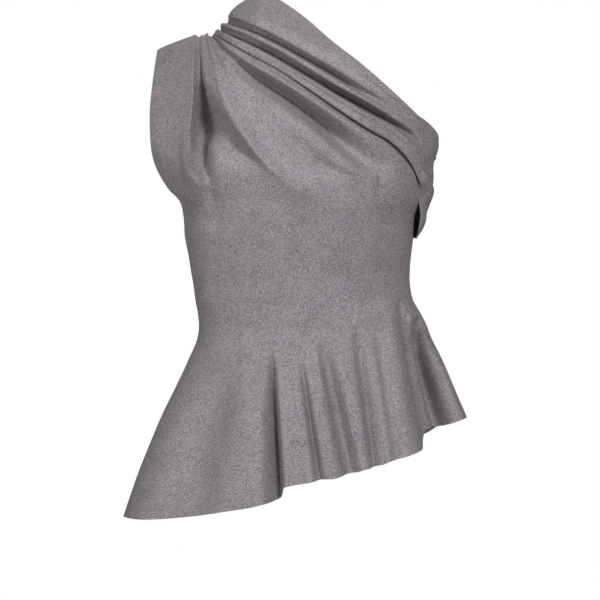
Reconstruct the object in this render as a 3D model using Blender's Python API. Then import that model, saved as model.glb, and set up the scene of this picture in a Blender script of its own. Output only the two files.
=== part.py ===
"""One-shoulder knit top with a pleated sash and a slanting, flared peplum.

The top keeps the hollow form it has when it is worn. It is sewn from six pieces: a front and a
back bodice, a front and a back sash that is pleated into the one shoulder and runs down to the
other underarm, and a front and a back peplum. Each piece is a thin closed wall of cloth.

Lengths in the tables are millimetres. X runs to the viewer's right, Y to the back and Z up, from
the middle of the waist. The finished pieces are moved so that the origin is where the shoulder
carries the top, and are turned into metres.
"""
import bpy
import bmesh
import numpy as np

MM = 0.001
CLOTH = 1.8
SEAM_GAP = 0.3
SHOULDER_SEAT = (-118.0, 0.0, 343.0)
SHOULDER_ROUND = 62.0
SIDE_FULLNESS = 0.85
SASH_OVER_BODICE = 2.4

UPPER_ROWS = 15
LOWER_ROWS = 8
WRAP_ROWS = 5
PEPLUM_ROWS = 10
SHOULDER_ROW_CROWDING = 1.7
SETTLING_ROUNDS = 8
SHOULDER_SETTLING_FADE = 4
WAIST_SETTLING_FADE = 2
SHARP_EDGE_DEGREES = 50.0

KNIT_COLOUR = (0.225, 0.212, 0.226, 1.0)
SASH_COLOUR = (0.245, 0.230, 0.243, 1.0)
PEPLUM_COLOUR = (0.240, 0.225, 0.237, 1.0)
KNIT_ROUGHNESS = 0.75
KNIT_METALLIC = 0.12

# The form that the top is cut for: at each height, how far its left and right sides stand from
# the middle, and how deep it is in front and behind. Below the waist it is the flared peplum.
BODY_COLUMNS = ("height", "left", "right", "front", "back")
BODY = (
    (-250, -224, 249, 138, 132),
    (-186, -202, 226, 127, 119),
    (-150, -188, 211, 119, 111),
    (-114, -173, 197, 111, 104),
    (-78, -156, 181, 103, 95),
    (-42, -139, 165, 96, 87),
    (-16, -128, 153, 92, 82),
    (0, -126, 147, 90, 80),
    (12, -127, 141, 90, 80),
    (30, -130, 131, 91, 80),
    (48, -132, 127, 93, 82),
    (66, -135, 127, 96, 85),
    (90, -139, 129, 101, 89),
    (108, -142, 131, 105, 93),
    (132, -144, 133, 109, 97),
    (149, -149, 141, 112, 99),
    (166, -166, 147, 114, 100),
    (190, -185, 150, 115, 102),
    (216, -196, 152, 112, 103),
    (246, -200, 153, 108, 102),
    (281, -198, 160, 100, 98),
    (316, -190, 166, 91, 90),
    (345, -172, 168, 83, 80),
    (410, -160, 170, 72, 62),
)

# Where the sash passes the underarm it stands off the bodice: its own distance from the middle.
SASH_SIDE_COLUMNS = ("height", "right")
SASH_SIDE = (
    (95, 134),
    (106, 136),
    (115, 141),
    (124, 144),
    (135, 146),
    (149, 149),
    (160, 152),
    (176, 153),
    (190, 153),
    (197, 155),
    (214, 159),
    (222, 158),
    (246, 160),
    (281, 165),
    (345, 169),
    (410, 171),
)

# The line over the shoulder where front and back meet. Past the neck edge it only sets how
# far the front and back stand forward of it.
SHOULDER_COLUMNS = ("across", "height")
SHOULDER = (
    (-185, 324),
    (-174, 329),
    (-150, 338),
    (-122, 345),
    (-107, 346),
    (-97, 354),
    (-88, 366),
    (-68, 383),
    (-50, 396),
    (-29, 390),
    (0, 380),
    (32, 370),
    (69, 360),
    (110, 350),
    (175, 340),
)

# The waist seam slants up to the viewer's right.
LEFT_SEAM_ACROSS = -130
RIGHT_SEAM_ACROSS = 132
WAIST_COLUMNS = ("across", "front height", "back height")
WAIST = (
    (-130, 2, 2),
    (-92, -7, 6),
    (-44, -11, 10),
    (4, -5, 15),
    (39, 1, 20),
    (77, 15, 30),
    (98, 28, 36),
    (118, 40, 43),
    (132, 50, 50),
)

# Fold lines of the bodice, from the armhole to the sash. "above" is the line (across, height)
# from the shoulder to the underarm level, "below" goes on to the waist. "columns" is how many
# columns of the mesh lie between it and the next line. Lifts are (level, how far the cloth
# stands off the body form), with level 0 at the shoulder, 1 at the underarm and 2 at the waist.
BODICE_FOLDS = (
    dict(
        name="armhole and left side", columns=3,
        above=((-174, 329), (-177, 291), (-180, 254), (-180, 232), (-176, 196), (-161, 164), (-150, 149)),
        below="left side",
        front=((0, 0), (2, 0)),
        back=((0, 0), (2, 0)),
    ),
    dict(
        name="middle of the cap", columns=3,
        above=((-151, 338), (-152, 291), (-153, 238), (-148, 198), (-135, 157)),
        below=((-135, 157), (-130, 120), (-119, 66), (-113, -5)),
        front=((0, 1), (0.5, 4), (1, 2), (1.3, 0), (2, 0)),
        back=((0, 1), (0.5, 4), (1, 2), (1.3, 0), (2, 0)),
    ),
    dict(
        name="edge of the cap's fold", columns=3,
        above=(
            (-128, 344), (-124, 304), (-123, 261), (-123, 238), (-126, 219), (-125, 188), (-119, 170),
        ),
        below=((-119, 170), (-112, 134), (-103, 70), (-96, -8)),
        front=((0, 3), (0.2, 6), (0.45, 12), (0.7, 12), (0.9, 8), (1.05, 3), (1.3, 0), (2, 0)),
        back=((0, 3), (0.2, 4), (0.5, 7), (0.8, 4), (1.1, 0), (2, 0)),
    ),
    dict(
        name="recess beside the cap", columns=3,
        above=(
            (-123, 345), (-119, 302), (-118, 271), (-115, 246), (-113, 231), (-112, 208), (-110, 177),
        ),
        below=((-110, 177), (-98, 129), (-87, 70), (-80, -10)),
        front=(
            (0, -1), (0.15, -4), (0.35, -12), (0.55, -16), (0.7, -12), (0.88, -7), (1.05, -1),
            (1.3, 0), (2, 0),
        ),
        back=((0, -1), (0.25, -5), (0.5, -8), (0.8, -3), (1.1, 0), (2, 0)),
    ),
    dict(
        name="bank beside the recess", columns=3,
        above=((-120, 346), (-112, 314), (-105, 278), (-97, 246), (-87, 221), (-77, 189)),
        below=((-77, 189), (-66, 150), (-55, 90), (-50, -10)),
        front=((0, 1), (0.25, -3), (0.5, -7), (0.65, -7), (0.82, 0), (1, 0), (2, 0)),
        back=((0, 1), (0.3, -2), (0.7, -3), (1, 0), (2, 0)),
    ),
    dict(
        name="long ridge to the bust", columns=4,
        above=((-117, 346), (-105, 314), (-92, 285), (-79, 256), (-58, 216), (-37, 188), (-6, 166)),
        below=((-6, 166), (2, 132), (4, 83), (0, -5)),
        front=((0, 1), (0.1, 2), (0.2, 5), (0.5, 7), (0.8, 7), (1, 5), (1.15, 1), (1.4, 0), (2, 0)),
        back=((0, 1), (0.1, 2), (0.2, 4), (0.5, 6), (0.8, 4), (1.1, 1), (1.4, 0), (2, 0)),
    ),
    dict(
        name="flat of the bust", columns=3,
        above=((-114, 346), (-92, 308), (-66, 276), (-38, 244), (-10, 211), (25, 185)),
        below=((25, 185), (44, 135), (47, 83), (39, 1)),
        front=((0, 1), (0.3, -1), (0.6, 1), (1, 0), (2, 0)),
        back=((0, 1), (0.5, 0), (2, 0)),
    ),
    dict(
        name="valley under the sash", columns=3,
        above=(
            (-111, 346), (-89, 320), (-64, 300), (-25, 274), (9, 247), (32, 232), (56, 216), (83, 198),
        ),
        below=((83, 198), (92, 150), (88, 94), (80, 17)),
        front=((0, 0), (0.1, -1), (0.2, -5), (0.4, -8), (0.7, -8), (0.9, -4), (1.05, -1), (1.3, 0), (2, 0)),
        back=((0, 0), (0.1, -1), (0.25, -4), (0.5, -6), (0.9, -2), (1.2, 0), (2, 0)),
    ),
    dict(
        name="crest under the sash", columns=3,
        above=(
            (-108, 345), (-86, 325), (-60, 308), (-25, 287), (9, 263), (42, 241), (74, 219), (104, 193),
        ),
        below=((104, 193), (110, 147), (105, 93), (101, 28)),
        front=((0, 1), (0.2, 3), (0.5, 4), (0.8, 4), (1, 2), (1.3, 0), (2, 0)),
        back=((0, 1), (0.5, 3), (1, 2), (1.3, 0), (2, 0)),
    ),
    dict(
        name="line where the sash lies over", columns=3,
        above=(
            (-105, 346), (-88, 334), (-68, 322), (-34, 303), (1, 281), (36, 257), (70, 235),
            (104, 215), (123, 195), (137, 169),
        ),
        below=((137, 169), (132, 150), (125, 110), (121, 70), (120, 42)),
        front=((0, 0), (0.5, -1), (1, -1), (1.3, 0), (2, 0)),
        back=((0, 0), (0.5, -1), (1, -1), (1.3, 0), (2, 0)),
    ),
    dict(
        name="edge under the sash and right side", columns=0,
        above=(
            (-102, 349), (-87, 339), (-70, 328), (-36, 310), (1, 289), (36, 267), (70, 246),
            (106, 225), (128, 205), (142, 176),
        ),
        below="right side",
        front=((0, 0), (0.5, -1), (1, -1), (1.3, 0), (2, 0)),
        back=((0, 0), (0.5, -1), (1, -1), (1.3, 0), (2, 0)),
    ),
)

# Fold lines of the sash, from its lower edge to the neck edge. "above" runs from the shoulder to
# where the sash turns round the underarm, "below" from there to the side seam. Behind, the lower
# edge turns higher up and leaves an open loop, so it has a line "below_at_back" of its own.
SASH_FOLDS = (
    dict(
        name="lower edge", columns=3,
        above=(
            (-105, 346), (-88, 334), (-68, 322), (-34, 303), (1, 281), (36, 257), (70, 235),
            (104, 215), (123, 195), (137, 169),
        ),
        below=((137, 169), (139, 155), (139, 143), (138, 131), (136, 118), (133, 106)),
        below_at_back=((137, 169), (128, 150), (122, 135), (120, 120), (124, 110), (133, 106)),
        front=((0, 0), (0.5, -1), (1, -1), (1.4, 0), (2, 0)),
        back=((0, 0), (0.5, -1), (1, -1), (1.4, 0), (2, 0)),
    ),
    dict(
        name="first pleat", columns=3,
        above=(
            (-102, 349), (-87, 339), (-70, 328), (-36, 310), (1, 289), (36, 267), (70, 246),
            (106, 225), (128, 205), (139, 181),
        ),
        below=((139, 181), (142, 163), (142, 149), (142.5, 138), (145, 130)),
        front=((0, 0), (0.15, 1), (0.3, 3), (0.5, 5), (0.85, 6), (1, 3), (1.5, 1), (2, 0)),
        back=((0, 0), (0.15, 1), (0.3, 3), (0.5, 5), (0.85, 5), (1, 2), (1.5, 1), (2, 0)),
    ),
    dict(
        name="deep valley", columns=3,
        above=(
            (-97, 355), (-86, 346), (-68, 335), (-34, 318), (2, 299), (36, 279), (70, 258),
            (106, 239), (123, 225), (135, 207),
        ),
        below=((135, 207), (142, 190), (146, 172), (147.5, 158), (149, 148)),
        front=((0, 0), (0.15, -1), (0.3, -4), (0.5, -7), (0.8, -8), (1, -4), (1.3, -1), (2, 0)),
        back=((0, 0), (0.15, -1), (0.3, -3), (0.5, -6), (0.8, -6), (1, -2), (1.3, 0), (2, 0)),
    ),
    dict(
        name="second pleat", columns=3,
        above=(
            (-94, 361), (-83, 353), (-66, 343), (-32, 326), (2, 308), (37, 288), (72, 267), (101, 250),
            (130, 229),
        ),
        below=((130, 229), (144, 204), (149.5, 182), (150.5, 170), (152, 160)),
        front=((0, 1), (0.15, 2), (0.5, 4), (0.8, 5), (1, 2), (1.5, 1), (2, 0)),
        back=((0, 1), (0.2, 3), (0.5, 5), (0.8, 4), (1, 2), (1.5, 1), (2, 0)),
    ),
    dict(
        name="narrow crease", columns=3,
        above=(
            (-90, 369), (-80, 361), (-64, 351), (-30, 335), (4, 317), (39, 297), (73, 276), (90, 265),
            (129, 238),
        ),
        below=((129, 238), (145, 214), (152, 195), (153, 182)),
        front=((0, 0), (0.1, -2), (0.3, -3), (0.6, -2), (0.75, 0), (0.85, 1), (1, 1), (2, 0)),
        back=((0, -3), (0.3, -3), (0.8, -2), (1, 0), (2, 0)),
    ),
    dict(
        name="edge of the top band", columns=3,
        above=(
            (-84, 374), (-74, 367), (-58, 359), (-24, 342), (9, 324), (44, 303), (78, 283), (94, 272),
            (130, 243),
        ),
        below=((130, 243), (147, 222), (155, 205), (155, 198)),
        front=((0, 2), (0.2, 4), (0.6, 4), (0.75, 3), (0.85, 2), (1, 1), (2, 0)),
        back=((0, 2), (0.2, 4), (0.6, 4), (1, 1), (2, 0)),
    ),
    dict(
        name="middle of the top band", columns=3,
        above=((-68, 385), (-42, 371), (-12, 353), (20, 331), (58, 303), (88, 280), (131, 246)),
        below=((131, 246), (149, 229), (157, 214), (158, 208)),
        front=((0, 2), (0.5, 2), (1, 1), (2, 0)),
        back=((0, 2), (0.5, 2), (1, 1), (2, 0)),
    ),
    dict(
        name="neck edge", columns=0,
        above=((-50, 396), (-29, 384), (1, 362), (32, 335), (69, 306), (106, 274), (132, 250)),
        below=((132, 250), (146, 240), (155, 230), (159, 219)),
        front=((0, 0), (0.5, 0), (2, 0)),
        back=((0, 0), (0.5, 0), (2, 0)),
    ),
)

# Flutes of the peplum, from the left side seam to the right one: where each line leaves the
# waist, where it ends at the hem, how far it stands off the flared form there, and the share
# of the way down at which it begins.
FLUTE_COLUMNS = ("waist across", "hem across", "hem height", "lift", "start")
FRONT_FLUTES = (
    ("side", "side", -230, 0, 0.0),
    (-117, -184, -223, 4, 0.3),
    (-86, -137, -216, -6, 0.3),
    (-60, -79, -204, 7, 0.15),
    (-48, -44, -196, 9, 0.2),
    (-41, -26, -188, -5, 0.15),
    (-38, -21, -178, -5, 0.1),
    (-26, -4, -174, 5, 0.1),
    (-6, 18, -170, -4, 0.2),
    (6, 35, -168, 4, 0.2),
    (20, 54, -162, -8, 0.1),
    (38, 72, -159, 5, 0.1),
    (58, 83, -156, -6, 0.0),
    (72, 98, -150, 5, 0.0),
    (82, 114, -145, 1, 0.4),
    (92, 128, -141, 5, 0.1),
    (102, 137, -136, -5, 0.0),
    (109, 143, -125, 0, 0.0),
    (114, 150, -122, -3, 0.2),
    (119, 162, -119, -12, 0.3),
    (125, 182, -114, -2, 0.2),
    ("side", "side", -109, 0, 0.0),
)
BACK_FLUTES = (
    ("side", "side", -230, 0, 0.0),
    (-110, -180, -227, 4, 0.3),
    (-88, -144, -223, -6, 0.25),
    (-66, -106, -218, 7, 0.2),
    (-46, -72, -211, -7, 0.2),
    (-28, -44, -205, 5, 0.2),
    (-10, -16, -198, -8, 0.1),
    (8, 16, -190, 6, 0.2),
    (26, 46, -182, -6, 0.15),
    (44, 74, -174, 6, 0.1),
    (62, 102, -165, -8, 0.1),
    (82, 128, -153, 5, 0.1),
    (102, 152, -140, -7, 0.1),
    (116, 174, -125, 4, 0.2),
    ("side", "side", -109, 0, 0.0),
)
FLUTE_COLUMNS_BETWEEN = 2

FRONT = -1.0
BACK = 1.0


def smooth(known_x, known_y, x):
    """Smooth curve through the known points, read at x."""
    known_x = np.asarray(known_x, float)
    known_y = np.asarray(known_y, float)
    slope = np.gradient(known_y, known_x)
    x = np.clip(x, known_x[0], known_x[-1])
    i = np.clip(np.searchsorted(known_x, x) - 1, 0, len(known_x) - 2)
    step = known_x[i + 1] - known_x[i]
    t = (x - known_x[i]) / step
    start = (2 * t ** 3 - 3 * t ** 2 + 1) * known_y[i] + (t ** 3 - 2 * t ** 2 + t) * step * slope[i]
    end = (3 * t ** 2 - 2 * t ** 3) * known_y[i + 1] + (t ** 3 - t ** 2) * step * slope[i + 1]
    return start + end


def column(table, names, name):
    """One named column of a table."""
    place = names.index(name)
    return [row[place] for row in table]


def shoulder_height(across):
    return smooth(
        column(SHOULDER, SHOULDER_COLUMNS, "across"),
        column(SHOULDER, SHOULDER_COLUMNS, "height"),
        across,
    )


def waist_height(across, side):
    name = "front height" if side == FRONT else "back height"
    return smooth(column(WAIST, WAIST_COLUMNS, "across"), column(WAIST, WAIST_COLUMNS, name), across)


def body_size(name, height):
    return smooth(column(BODY, BODY_COLUMNS, "height"), column(BODY, BODY_COLUMNS, name), height)


def sash_right(height):
    return smooth(
        column(SASH_SIDE, SASH_SIDE_COLUMNS, "height"),
        column(SASH_SIDE, SASH_SIDE_COLUMNS, "right"),
        height,
    )


def body_right(height):
    return body_size("right", height)


def turn_at(across, height, right):
    """Angle round the body form, 0 at its left side and pi at its right side."""
    left_end = body_size("left", height)
    right_end = right(height)
    middle = (left_end + right_end) / 2
    half = (right_end - left_end) / 2
    return np.arccos(np.clip((middle - across) / half, -1, 1))


def body_point(turn, height, side, right):
    """Point of the body form at an angle and height, as an array of (x, y, z)."""
    left_end = body_size("left", height)
    right_end = right(height)
    across = (left_end + right_end) / 2 - (right_end - left_end) / 2 * np.cos(turn)
    depth = body_size("front" if side == FRONT else "back", height)
    below_shoulder = np.clip((shoulder_height(across) - height) / SHOULDER_ROUND, 0, 1)
    over_shoulder = np.sqrt(1 - (1 - below_shoulder) ** 2)
    depth = depth * np.clip(np.sin(turn), 0, 1) ** SIDE_FULLNESS * over_shoulder
    return np.stack([across, side * (depth + SEAM_GAP / 2), height], axis=-1)


def read_path(path, share):
    """Points at shares of the length of a smooth line through a path's (across, height) points."""
    path = np.asarray(path, float)
    length = np.concatenate([[0], np.cumsum(np.hypot(*np.diff(path, axis=0).T))])
    length = length / length[-1]
    return smooth(length, path[:, 0], share), smooth(length, path[:, 1], share)


def unit(vectors):
    size = np.linalg.norm(vectors, axis=-1, keepdims=True)
    return vectors / np.maximum(size, 1e-9)


def outward(points, side):
    """Outward direction at each point of a grid whose rows run down and columns to the right."""
    down = np.gradient(points, axis=0)
    right = np.gradient(points, axis=1)
    return unit(np.cross(down, right)) * (-side)


def keep_seams(direction, seams):
    """Seams lie in a plane, so the cloth there is not moved across that plane."""
    direction = direction.copy()
    if "shoulder" in seams:
        direction[0, :, 1] = 0
    if "waist" in seams:
        direction[-1, :, 2] = 0
    if "peplum waist" in seams:
        direction[0, :, 2] = 0
    for seam, place in (("left side", 0), ("right side", -1)):
        if seam in seams:
            rows = slice(seams[seam], None)
            direction[rows, place, 1] = 0
    if "sash side" in seams:
        direction[-1, :, 1] = 0
    return unit(direction)


def folded_grid(folds, levels, side, right, waist_gap):
    """Grid of points with the folds raised, and the columns follow the fold lines."""
    levels = np.asarray(levels, float)
    above = np.clip(levels, 0, 1)
    below = np.clip(levels - 1, 0, 1)
    turns, heights, lifts = [], [], []
    for fold in folds:
        x, z = read_path(fold["above"], above)
        knee = z[levels <= 1][-1]
        if fold["below"] == "left side":
            z_low = knee + (waist_height(LEFT_SEAM_ACROSS, side) - knee) * below
            x_low = body_size("left", z_low)
        elif fold["below"] == "right side":
            z_low = knee + (waist_height(RIGHT_SEAM_ACROSS, side) - knee) * below
            x_low = right(z_low)
        elif side == BACK and "below_at_back" in fold:
            x_low, z_low = read_path(fold["below_at_back"], below)
        else:
            x_low, z_low = read_path(fold["below"], below)
        x = np.where(levels <= 1, x, x_low)
        z = np.where(levels <= 1, z, z_low)
        lift = fold["front" if side == FRONT else "back"]
        turns.append(turn_at(x, z, right))
        heights.append(z)
        lifts.append(smooth([a for a, _ in lift], [b for _, b in lift], levels))
    columns = []
    for i, fold in enumerate(folds[:-1]):
        for k in range(fold["columns"]):
            share = k / fold["columns"]
            eased = (1 - np.cos(np.pi * share)) / 2
            columns.append([
                turns[i] + (turns[i + 1] - turns[i]) * share,
                heights[i] + (heights[i + 1] - heights[i]) * share,
                lifts[i] + (lifts[i + 1] - lifts[i]) * eased,
            ])
    columns.append([turns[-1], heights[-1], lifts[-1]])
    turn, height, lift = np.transpose(np.array(columns), (1, 2, 0))
    for _ in range(SETTLING_ROUNDS):
        across = body_point(turn, height, side, right)[..., 0]
        to_shoulder = shoulder_height(across[0]) - height[0]
        height = height + to_shoulder * (1 - above[:, None]) ** SHOULDER_SETTLING_FADE
        if waist_gap:
            to_waist = waist_height(across[-1], side) + SEAM_GAP / 2 - height[-1]
            height = height + to_waist * below[:, None] ** WAIST_SETTLING_FADE
    return body_point(turn, height, side, right), lift


def raise_folds(points, lift, side, seams):
    """Move the cloth off the body form by its lifts."""
    return points + keep_seams(outward(points, side), seams) * lift[..., None]


def cloth_wall(name, outer, side, seams, colour):
    """Closed wall of cloth: an outer grid, an inner grid one thickness inside, and its edges."""
    inner = outer - keep_seams(outward(outer, side), seams) * CLOTH
    for grid in (outer, inner):
        grid[..., 1] = side * np.maximum(side * grid[..., 1], SEAM_GAP / 2)
    rows, columns = outer.shape[:2]
    points = np.concatenate([outer.reshape(-1, 3), inner.reshape(-1, 3)])
    points = (points - np.array(SHOULDER_SEAT)) * MM
    count = rows * columns
    faces = []
    for i in range(rows - 1):
        for j in range(columns - 1):
            a = i * columns + j
            b = a + 1
            c = a + columns + 1
            d = a + columns
            faces += [(a, b, c), (a, c, d)]
            faces += [(count + a, count + c, count + b), (count + a, count + d, count + c)]
    top = list(range(columns))
    right = [i * columns + columns - 1 for i in range(rows)]
    bottom = [(rows - 1) * columns + j for j in reversed(range(columns))]
    left = [i * columns for i in reversed(range(rows))]
    for edge in (top, right, bottom, left):
        for a, b in zip(edge[:-1], edge[1:]):
            faces += [(b, a, count + a), (b, count + a, count + b)]
    mesh = bpy.data.meshes.new(name)
    mesh.from_pydata([tuple(p) for p in points], [], faces)
    work = bmesh.new()
    work.from_mesh(mesh)
    bmesh.ops.recalc_face_normals(work, faces=work.faces)
    work.to_mesh(mesh)
    work.free()
    mesh.shade_smooth()
    mesh.set_sharp_from_angle(angle=np.radians(SHARP_EDGE_DEGREES))
    mesh.materials.append(knit_material(name, colour))
    piece = bpy.data.objects.new(name, mesh)
    bpy.context.scene.collection.objects.link(piece)
    return piece


def knit_material(name, colour):
    material = bpy.data.materials.new(name + "_knit")
    material.use_nodes = True
    shader = material.node_tree.nodes["Principled BSDF"]
    shader.inputs["Base Color"].default_value = colour
    shader.inputs["Roughness"].default_value = KNIT_ROUGHNESS
    shader.inputs["Metallic"].default_value = KNIT_METALLIC
    return material


def upper_levels():
    """Levels from the shoulder to the underarm, crowded where the cloth rounds the shoulder."""
    return [(i / UPPER_ROWS) ** SHOULDER_ROW_CROWDING for i in range(UPPER_ROWS + 1)]


def bodice(name, side):
    """Front or back bodice, from the shoulder and armhole to the waist seam."""
    levels = upper_levels() + [1 + (i + 1) / LOWER_ROWS for i in range(LOWER_ROWS)]
    points, lift = folded_grid(BODICE_FOLDS, levels, side, body_right, waist_gap=True)
    seams = {"shoulder": 0, "waist": 0, "left side": UPPER_ROWS, "right side": UPPER_ROWS + 1}
    outer = raise_folds(points, lift, side, seams)
    return cloth_wall(name, outer, side, seams, KNIT_COLOUR)


def sash(name, side):
    """Front or back half of the pleated sash, from the shoulder to the seam at the underarm."""
    levels = upper_levels() + [1 + (i + 1) / WRAP_ROWS for i in range(WRAP_ROWS)]
    points, lift = folded_grid(SASH_FOLDS, levels, side, sash_right, waist_gap=False)
    points[-1, :, 0] = sash_right(points[-1, :, 2])
    points[-1, :, 1] = side * SEAM_GAP / 2
    seams = {"shoulder": 0, "sash side": 0}
    outer = raise_folds(points, lift + SASH_OVER_BODICE, side, seams)
    return cloth_wall(name, outer, side, seams, SASH_COLOUR)


def flute_lines(flutes, side):
    """Turn the flute table into numbers: the side seams run down the two sides of the form."""
    waist = column(flutes, FLUTE_COLUMNS, "waist across")
    hem = column(flutes, FLUTE_COLUMNS, "hem across")
    hem_height = column(flutes, FLUTE_COLUMNS, "hem height")
    for place, end, seam in ((0, "left", LEFT_SEAM_ACROSS), (-1, "right", RIGHT_SEAM_ACROSS)):
        waist[place] = body_size(end, waist_height(seam, side))
        hem[place] = body_size(end, hem_height[place])
    lift = column(flutes, FLUTE_COLUMNS, "lift")
    start = column(flutes, FLUTE_COLUMNS, "start")
    return waist, hem, hem_height, lift, start


def peplum(name, flutes, side):
    """Front or back peplum: a flared skirt whose flutes grow towards its slanting hem."""
    waist, hem, hem_height, lift, start = flute_lines(flutes, side)
    shares = [i / PEPLUM_ROWS for i in range(PEPLUM_ROWS + 1)]
    lines = []
    for i in range(len(waist)):
        line = []
        for share in shares:
            top = waist_height(waist[i], side) - SEAM_GAP / 2
            height = top + (hem_height[i] - top) * share
            across = waist[i] + (hem[i] - waist[i]) * share
            turn = turn_at(across, height, body_right)
            if i == 0:
                turn = 0.0
            if i == len(waist) - 1:
                turn = np.pi
            grown = np.clip((share - start[i]) / (1 - start[i]), 0, 1)
            grown = grown * (2 - grown)
            line.append((turn, height, lift[i] * grown))
        lines.append(np.array(line))
    columns = []
    for near, far in zip(lines[:-1], lines[1:]):
        for k in range(FLUTE_COLUMNS_BETWEEN):
            columns.append(near + (far - near) * k / FLUTE_COLUMNS_BETWEEN)
    columns.append(lines[-1])
    turn, height, raised = np.transpose(np.array(columns), (2, 1, 0))
    fade = (1 - np.array(shares)[:, None]) ** WAIST_SETTLING_FADE
    for _ in range(SETTLING_ROUNDS):
        across = body_point(turn, height, side, body_right)[0, :, 0]
        height = height + (waist_height(across, side) - SEAM_GAP / 2 - height[0]) * fade
    points = body_point(turn, height, side, body_right)
    seams = {"peplum waist": 0, "left side": 0, "right side": 0}
    outer = raise_folds(points, raised, side, seams)
    return cloth_wall(name, outer, side, seams, PEPLUM_COLOUR)


for old in list(bpy.data.objects):
    bpy.data.objects.remove(old, do_unlink=True)

bodice("front_bodice", FRONT)
bodice("back_bodice", BACK)
sash("front_sash", FRONT)
sash("back_sash", BACK)
peplum("front_peplum", FRONT_FLUTES, FRONT)
peplum("back_peplum", BACK_FLUTES, BACK)
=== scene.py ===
import bpy
import numpy as np
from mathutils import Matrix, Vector


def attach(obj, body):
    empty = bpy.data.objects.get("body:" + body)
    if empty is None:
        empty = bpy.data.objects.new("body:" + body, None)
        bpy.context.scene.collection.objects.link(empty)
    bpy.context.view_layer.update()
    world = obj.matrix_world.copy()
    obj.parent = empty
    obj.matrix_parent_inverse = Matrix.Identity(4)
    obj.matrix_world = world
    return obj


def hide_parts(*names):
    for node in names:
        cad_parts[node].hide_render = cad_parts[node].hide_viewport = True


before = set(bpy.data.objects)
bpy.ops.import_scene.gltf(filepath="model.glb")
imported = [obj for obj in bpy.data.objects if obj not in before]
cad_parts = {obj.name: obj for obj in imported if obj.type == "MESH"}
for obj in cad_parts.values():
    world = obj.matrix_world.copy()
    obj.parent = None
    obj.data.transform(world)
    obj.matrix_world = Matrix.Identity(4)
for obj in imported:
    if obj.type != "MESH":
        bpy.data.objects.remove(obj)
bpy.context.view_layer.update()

# Front bodice.
# One cut of grey melange knit with a fine metal thread in it, sewn into the shoulder in small
# pleats, which fall as a cap over the arm, a long ridge to the bust and a soft valley under the
# sash. It is seamed to the back at the sides and to the peplum below. Sizes are in millimetres.

MM = 0.001
SHOULDER_SEAT = (-118.0, 0.0, 343.0)
CLOTH = 1.5
SHOULDER_ROUND = 62.0
SIDE_FULLNESS = 0.85
FRONT = -1.0
BACK = 1.0

# The hollow form that the cloth lies on: its ends and depths at each height. Left and right are
# the viewer's.
BODY_COLUMNS = ("height", "left", "right", "front", "back")
BODY = np.array([
    (-250, -224, 249, 138, 132),
    (-186, -202, 226, 127, 119),
    (-150, -188, 211, 119, 111),
    (-114, -173, 197, 111, 104),
    (-78, -156, 181, 103, 95),
    (-42, -139, 165, 96, 87),
    (-16, -128, 153, 92, 82),
    (0, -126, 147, 90, 80),
    (12, -127, 141, 90, 80),
    (30, -130, 131, 91, 80),
    (48, -132, 127, 93, 82),
    (66, -135, 127, 96, 85),
    (90, -139, 129, 101, 89),
    (108, -142, 131, 105, 93),
    (132, -144, 133, 109, 97),
    (149, -149, 141, 112, 99),
    (166, -166, 147, 114, 100),
    (190, -185, 150, 115, 102),
    (216, -196, 152, 112, 103),
    (246, -200, 153, 108, 102),
    (281, -198, 160, 100, 98),
    (316, -190, 166, 91, 90),
    (345, -172, 168, 83, 80),
    (410, -160, 170, 72, 62),
], float)

# Height of the shoulder and neck line at each place across.
SHOULDER = np.array([
    (-185, 324), (-174, 329), (-150, 338), (-122, 345), (-107, 346), (-97, 354), (-88, 366),
    (-68, 383), (-50, 396), (-29, 390), (0, 380), (32, 370), (69, 360), (110, 350), (175, 340),
], float)

# Height of the slanting waist seam at each place across, in front and at the back.
WAIST = np.array([
    (-130, 2, 2),
    (-92, -7, 6),
    (-44, -11, 10),
    (4, -5, 15),
    (39, 1, 20),
    (77, 15, 30),
    (98, 28, 36),
    (118, 40, 43),
    (132, 50, 50),
], float)


def smooth(known_x, known_y, x):
    """Smooth curve through the known points, read at x."""
    known_x = np.asarray(known_x, float)
    known_y = np.asarray(known_y, float)
    slope = np.gradient(known_y, known_x)
    x = np.clip(x, known_x[0], known_x[-1])
    i = np.clip(np.searchsorted(known_x, x) - 1, 0, len(known_x) - 2)
    step = known_x[i + 1] - known_x[i]
    t = (x - known_x[i]) / step
    start = (2 * t ** 3 - 3 * t ** 2 + 1) * known_y[i] + (t ** 3 - 2 * t ** 2 + t) * step * slope[i]
    end = (3 * t ** 2 - 2 * t ** 3) * known_y[i + 1] + (t ** 3 - t ** 2) * step * slope[i + 1]
    return start + end


def body_size(name, height):
    """One of the form's ends or depths at a height."""
    return smooth(BODY[:, 0], BODY[:, BODY_COLUMNS.index(name)], height)


def body_right(height):
    return body_size("right", height)


def shoulder_height(across):
    return smooth(SHOULDER[:, 0], SHOULDER[:, 1], across)


def waist_height(across, side):
    return smooth(WAIST[:, 0], WAIST[:, 1 if side == FRONT else 2], across)


def turn_at(across, height, right):
    """Angle round the body form, 0 at its left side and pi at its right side."""
    left_end = body_size("left", height)
    right_end = right(height)
    middle = (left_end + right_end) / 2
    half = (right_end - left_end) / 2
    return np.arccos(np.clip((middle - across) / half, -1, 1))


def body_point(turn, height, side, right):
    """Point of the body form at an angle and height."""
    left_end = body_size("left", height)
    right_end = right(height)
    across = (left_end + right_end) / 2 - (right_end - left_end) / 2 * np.cos(turn)
    depth = body_size("front" if side == FRONT else "back", height)
    below_shoulder = np.clip((shoulder_height(across) - height) / SHOULDER_ROUND, 0, 1)
    over_shoulder = np.sqrt(1 - (1 - below_shoulder) ** 2)
    depth = depth * np.clip(np.sin(turn), 0, 1) ** SIDE_FULLNESS * over_shoulder
    return np.stack([across, side * depth, height], axis=-1)


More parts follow.
